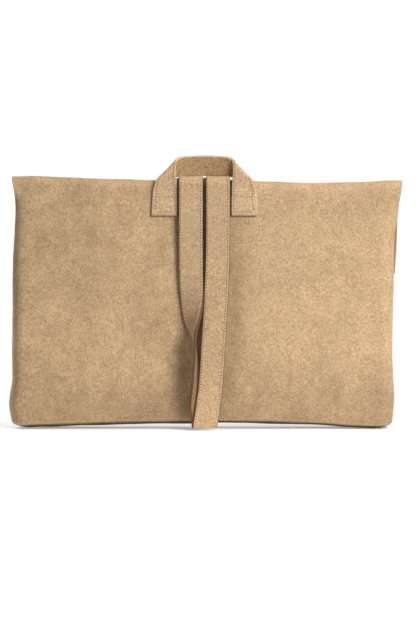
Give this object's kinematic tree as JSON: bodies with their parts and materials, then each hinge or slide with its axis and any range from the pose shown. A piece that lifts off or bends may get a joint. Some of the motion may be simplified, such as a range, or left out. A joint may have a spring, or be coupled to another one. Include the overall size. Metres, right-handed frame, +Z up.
{
  "type": "fold-over wristlet clutch",
  "caption": "Soft suede pouch with a rear fold-over flap, magnetic snap, inner zip pocket and a wrist loop threaded through a short keeper handle.",
  "frame": {"origin": "middle of the flat base that the pouch stands on", "axes": "+Z up, +X along the width, -Y out of the face that carries the keeper handle and the wrist loop"},
  "size_m": [0.319, 0.0528, 0.2233],
  "materials": {
    "panel_suede": "soft brushed camel suede with a mottled nap",
    "strap_suede": "camel suede, firm folded and stitched",
    "strap_back_suede": "inner layer of the straps, a darker camel suede",
    "card_slot_suede": "thin matt skived suede",
    "lining_cloth": "woven cotton lining, dark tan",
    "zip_tape": "woven zip tape",
    "thread": "waxed camel thread",
    "nickel": "satin nickel"
  },
  "bodies": {
    "bag": {"front_panel": "panel_suede", "rear_panel": "panel_suede", "front_lining": "lining_cloth", "rear_lining": "lining_cloth", "keeper_foot_left": "strap_suede", "keeper_foot_right": "strap_suede", "keeper_foot_thread": "thread", "top_fold": "panel_suede", "top_fold_lining": "lining_cloth", "strap_bridge_left": "strap_suede", "strap_bridge_right": "strap_suede", "snap_socket": "nickel", "snap_socket_washer": "nickel", "zip_tape_upper": "zip_tape", "zip_tape_lower": "zip_tape", "zip_teeth": "nickel", "zip_stops": "nickel", "zip_pocket_bag": "lining_cloth", "card_slot_upper": "card_slot_suede", "card_slot_middle": "card_slot_suede", "card_slot_lower": "card_slot_suede", "card_slot_thread": "thread"},
    "flap": {"flap_shell": "panel_suede", "flap_lining": "lining_cloth", "strap_end_left": "strap_suede", "strap_end_right": "strap_suede", "strap_end_thread": "thread", "snap_stud": "nickel", "snap_stud_washer": "nickel"},
    "keeper": {"keeper_arch_outer": "strap_suede", "keeper_arch_lining": "strap_back_suede"},
    "wrist_loop": {"wrist_loop_outer": "strap_suede", "wrist_loop_inner": "strap_back_suede"},
    "zip_slider": {"zip_slider": "nickel"},
    "zip_pull": {"zip_pull": "nickel"}
  },
  "joints": [
    {"name": "flap_open", "type": "hinge", "parent": "bag", "child": "flap", "pos_m": [0, 0.00226, 0.19526], "axis": [1, 0, 0], "range_deg": [0, 110], "deforming": ["top_fold", "top_fold_lining", "strap_bridge_left", "strap_bridge_right"]},
    {"name": "keeper_tip", "type": "hinge", "parent": "bag", "child": "keeper", "pos_m": [0, -0.00644, 0.1913], "axis": [1, 0, 0], "range_deg": [0, 15]},
    {"name": "wrist_loop_swing", "type": "hinge", "parent": "bag", "child": "wrist_loop", "pos_m": [0, -0.0096, 0.2003], "axis": [-1, 0, 0], "range_deg": [0, 135]},
    {"name": "zip_slide", "type": "slide", "parent": "bag", "child": "zip_slider", "axis": [1, 0, 0], "range_m": [0, 0.136]},
    {"name": "zip_pull_swing", "type": "hinge", "parent": "zip_slider", "child": "zip_pull", "pos_m": [-0.073, -0.00124, 0.14957], "axis": [0, -0.9979, 0.0645], "range_deg": [-90, 90]}
  ]
}
